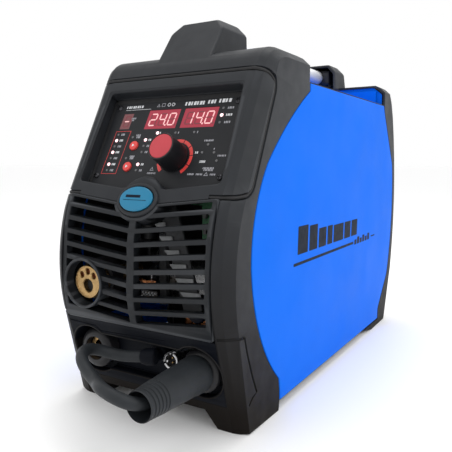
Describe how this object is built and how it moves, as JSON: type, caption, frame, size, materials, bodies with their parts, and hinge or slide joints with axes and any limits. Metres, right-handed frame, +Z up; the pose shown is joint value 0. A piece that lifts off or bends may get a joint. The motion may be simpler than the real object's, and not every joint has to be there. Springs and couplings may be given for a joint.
{
  "type": "mig welding machine",
  "caption": "Portable inverter MIG welding machine: moulded front and rear frames, sheet sides, sloping control panel, grille, torch and power sockets, polarity lead and a carrying handle.",
  "frame": {"origin": "middle of the footprint, on the surface that the feet stand on, measured without the polarity lead and its plug", "axes": "+Z up, -Y out of the front with the controls, +X to the right as seen from the front; the wire compartment's door is on -X"},
  "size_m": [0.22, 0.6376, 0.4125],
  "materials": {
    "charcoal_plastic": "fine moulded grain, satin",
    "black_plastic": "satin",
    "blue_paint": "powder coat, semi-gloss",
    "galvanised_sheet": "zinc-coated sheet",
    "aluminium": "brushed",
    "steel": "machined",
    "brass": "machined",
    "copper_winding": "enamelled copper winding",
    "red_plastic": "satin",
    "turquoise_badge": "smooth",
    "circuit_board": "solder mask",
    "display_window": "tinted, glossy",
    "rubber": "matt",
    "reel": "plastic reel full of steel welding wire"
  },
  "bodies": {
    "casing": {"front_frame": "charcoal_plastic", "control_fascia": "charcoal_plastic", "front_grille": "charcoal_plastic", "connector_panel": "charcoal_plastic", "rear_frame": "charcoal_plastic", "handle_seat": "black_plastic", "control_plate": "black_plastic", "euro_insulator": "black_plastic", "left_socket_shroud": "black_plastic", "right_socket_shroud": "black_plastic", "lead_gland": "black_plastic", "spool_hub": "black_plastic", "fan_frame": "black_plastic", "mains_gland": "black_plastic", "power_switch": "black_plastic", "top_cover": "blue_paint", "right_side_panel": "blue_paint", "door_sill": "blue_paint", "base_tray": "galvanised_sheet", "rear_panel": "galvanised_sheet", "bulkhead": "galvanised_sheet", "handle_tube": "aluminium", "feeder_plate": "aluminium", "heatsink": "aluminium", "door_hinge_rod": "steel", "encoder": "steel", "two_pin_socket": "steel", "drive_motor": "steel", "gas_valve": "steel", "transformer": "steel", "plate_screw_1": "steel", "plate_screw_2": "steel", "plate_screw_3": "steel", "plate_screw_4": "steel", "euro_socket": "brass", "left_socket_insert": "brass", "right_socket_insert": "brass", "gas_inlet": "brass", "wire_inlet_guide": "brass", "output_choke": "copper_winding", "badge": "turquoise_badge", "control_pcb": "circuit_board", "main_pcb": "circuit_board", "program_display": "display_window", "voltage_display": "display_window", "speed_display": "display_window", "polarity_lead": "rubber", "polarity_plug": "rubber"},
    "control_knob": {"control_knob": "black_plastic"},
    "upper_button": {"upper_button": "red_plastic"},
    "lower_button": {"lower_button": "red_plastic"},
    "wire_door": {"wire_door": "blue_paint"},
    "door_latch": {"door_latch": "black_plastic"},
    "drive_roll": {"drive_roll": "steel"},
    "pressure_arm": {"pressure_arm": "black_plastic"},
    "pressure_roll": {"pressure_roll": "steel"},
    "tension_knob": {"tension_knob": "black_plastic"},
    "wire_spool": {"wire_spool": "reel"},
    "fan_rotor": {"fan_rotor": "black_plastic"},
    "power_rocker": {"power_rocker": "red_plastic"}
  },
  "joints": [
    {"name": "control_knob_turn", "type": "hinge", "parent": "casing", "child": "control_knob", "pos_m": [0.0191, -0.22828, 0.26402], "axis": [0, -0.8886, 0.4587], "continuous": true},
    {"name": "upper_button_press", "type": "slide", "parent": "casing", "child": "upper_button", "axis": [0, 0.8886, -0.4587], "range_m": [0, 0.001], "stiffness_N_per_m": 300},
    {"name": "lower_button_press", "type": "slide", "parent": "casing", "child": "lower_button", "axis": [0, 0.8886, -0.4587], "range_m": [0, 0.001], "stiffness_N_per_m": 300},
    {"name": "wire_door_hinge", "type": "hinge", "parent": "casing", "child": "wire_door", "pos_m": [-0.1072, 0.03961, 0.343], "axis": [0, 1, 0], "range_deg": [0, 100]},
    {"name": "door_latch_turn", "type": "hinge", "parent": "wire_door", "child": "door_latch", "pos_m": [-0.11, 0.02961, 0.0575], "axis": [1, 0, 0], "range_deg": [0, 90]},
    {"name": "drive_roll_spin", "type": "hinge", "parent": "casing", "child": "drive_roll", "pos_m": [-0.0618, -0.15239, 0.1221], "axis": [1, 0, 0], "continuous": true},
    {"name": "pressure_arm_lift", "type": "hinge", "parent": "casing", "child": "pressure_arm", "pos_m": [-0.0475, -0.12239, 0.1615], "axis": [-1, 0, 0], "range_deg": [0, 50]},
    {"name": "pressure_roll_spin", "type": "hinge", "parent": "pressure_arm", "child": "pressure_roll", "pos_m": [-0.0618, -0.15239, 0.1485], "axis": [1, 0, 0], "continuous": true},
    {"name": "tension_knob_turn", "type": "hinge", "parent": "pressure_arm", "child": "tension_knob", "pos_m": [-0.0618, -0.16989, 0.1665], "axis": [0, 0, 1], "range_deg": [0, 720]},
    {"name": "wire_spool_spin", "type": "hinge", "parent": "casing", "child": "wire_spool", "pos_m": [-0.0618, 0.07461, 0.1645], "axis": [1, 0, 0], "continuous": true},
    {"name": "fan_spin", "type": "hinge", "parent": "casing", "child": "fan_rotor", "pos_m": [0.042, 0.20961, 0.1745], "axis": [0, 1, 0], "continuous": true},
    {"name": "power_rocker_tilt", "type": "hinge", "parent": "casing", "child": "power_rocker", "pos_m": [-0.048, 0.23111, 0.2905], "axis": [0, 0, 1], "range_deg": [0, 22]}
  ],
  "couplings": [
    {"joint": "pressure_roll_spin", "follows": "drive_roll_spin", "ratio": -1.3636}
  ]
}
